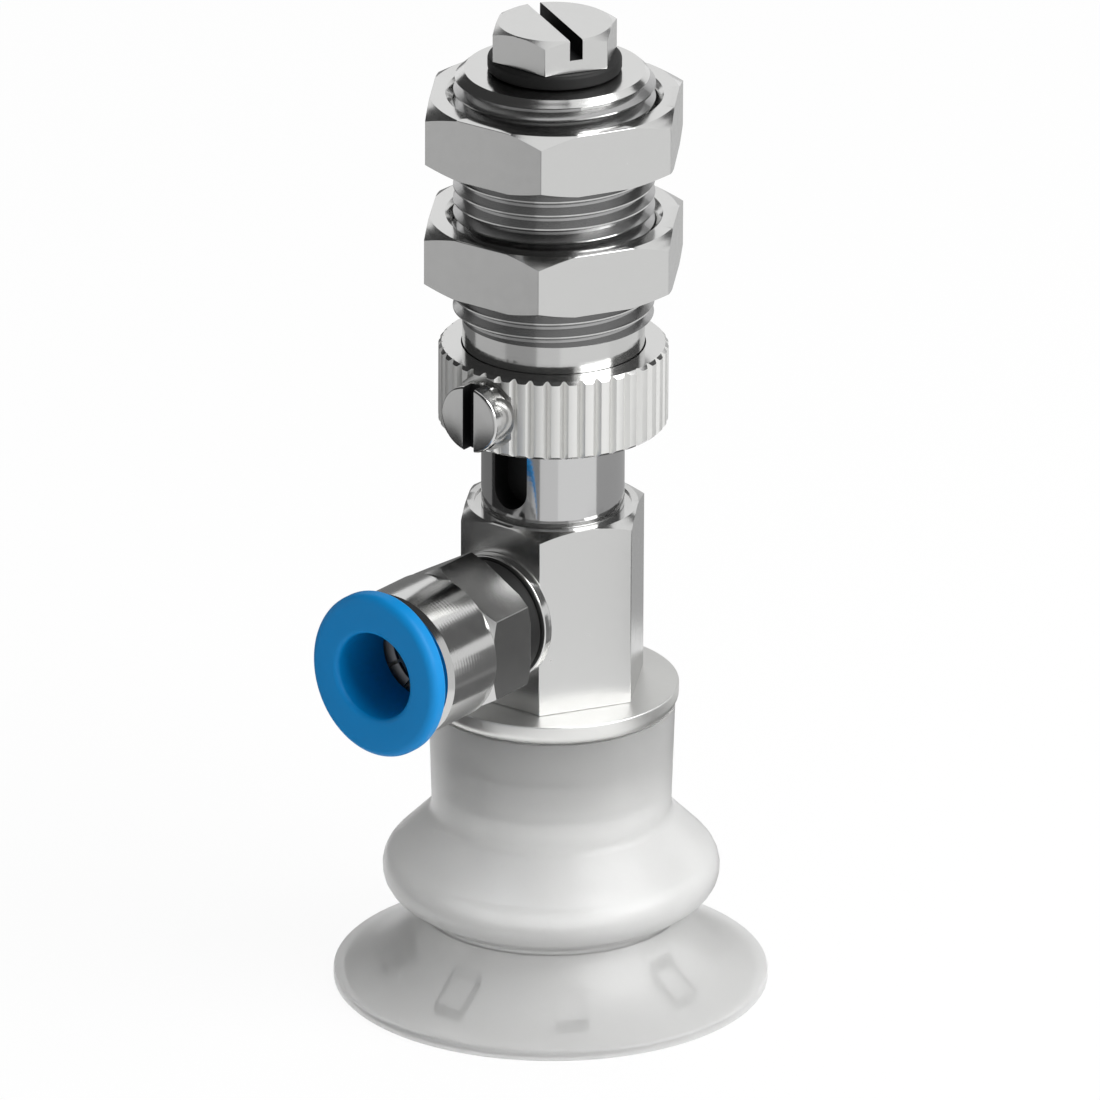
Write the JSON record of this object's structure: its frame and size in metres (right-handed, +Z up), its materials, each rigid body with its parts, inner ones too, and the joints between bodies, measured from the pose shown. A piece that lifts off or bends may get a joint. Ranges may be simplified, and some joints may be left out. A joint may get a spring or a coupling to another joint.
{
  "type": "vacuum gripper",
  "caption": "Vacuum gripper: bellows suction cup under a hexagonal port body with a push-in tube fitting, on a sprung plunger in a threaded sleeve with two lock nuts.",
  "frame": {"origin": "centre of the suction cup's lip, on the plane that it seals against", "axes": "+Z up the plunger, away from the workpiece; -Y out of the tube port; +X completes the frame"},
  "size_m": [0.0306, 0.0357, 0.0715],
  "materials": {
    "nickel_plated_steel": "bright nickel plate on turned steel, threads and hexagons",
    "nickel_plated_brass": "bright nickel plate on turned brass",
    "polished_steel": "ground and polished steel rod",
    "spring_steel": "drawn spring wire",
    "bearing_bronze": "sintered bearing bronze, oiled",
    "black_rubber": "black nitrile rubber, matt",
    "milky_silicone": "translucent milky silicone, smooth moulded",
    "blue_plastic": "blue acetal, smooth moulded",
    "natural_plastic": "natural acetal, moulded"
  },
  "bodies": {
    "plunger": {"suction_cup": "milky_silicone", "cup_plate": "nickel_plated_brass", "cup_screw": "nickel_plated_brass", "plate_seal": "black_rubber", "rod_seal": "black_rubber", "port_body": "nickel_plated_brass", "plunger_rod": "polished_steel", "compression_spring": "spring_steel", "stop_washer": "black_rubber", "end_stop_screw": "nickel_plated_steel", "fitting_body": "nickel_plated_brass", "fitting_washer": "nickel_plated_steel", "fitting_seal": "black_rubber", "tube_seal": "black_rubber", "seal_spacer": "natural_plastic", "gripping_claw": "spring_steel", "collet_bush": "natural_plastic"},
    "sleeve": {"threaded_sleeve": "nickel_plated_steel", "guide_collar": "nickel_plated_steel", "guide_screw": "nickel_plated_steel", "lower_guide_bush": "bearing_bronze", "upper_guide_bush": "bearing_bronze"},
    "lower_nut": {"lower_lock_nut": "nickel_plated_steel"},
    "upper_nut": {"upper_lock_nut": "nickel_plated_steel"},
    "release_ring": {"release_ring": "blue_plastic"}
  },
  "joints": [
    {"name": "compensator_stroke", "type": "slide", "parent": "plunger", "child": "sleeve", "axis": [0, 0, -1], "range_m": [0, 0.006], "stiffness_N_per_m": 600, "springref_m": -0.004, "deforming": ["compression_spring"]},
    {"name": "release_ring_press", "type": "slide", "parent": "plunger", "child": "release_ring", "axis": [0, 1, 0], "range_m": [0, 0.0006], "stiffness_N_per_m": 300, "springref_m": -0.0005},
    {"name": "lower_lock_nut_travel", "type": "slide", "parent": "sleeve", "child": "lower_nut", "axis": [0, 0, 1], "range_m": [-0.0028, 0.002]},
    {"name": "upper_lock_nut_travel", "type": "slide", "parent": "sleeve", "child": "upper_nut", "axis": [0, 0, 1], "range_m": [-0.002, 0.0007]}
  ]
}
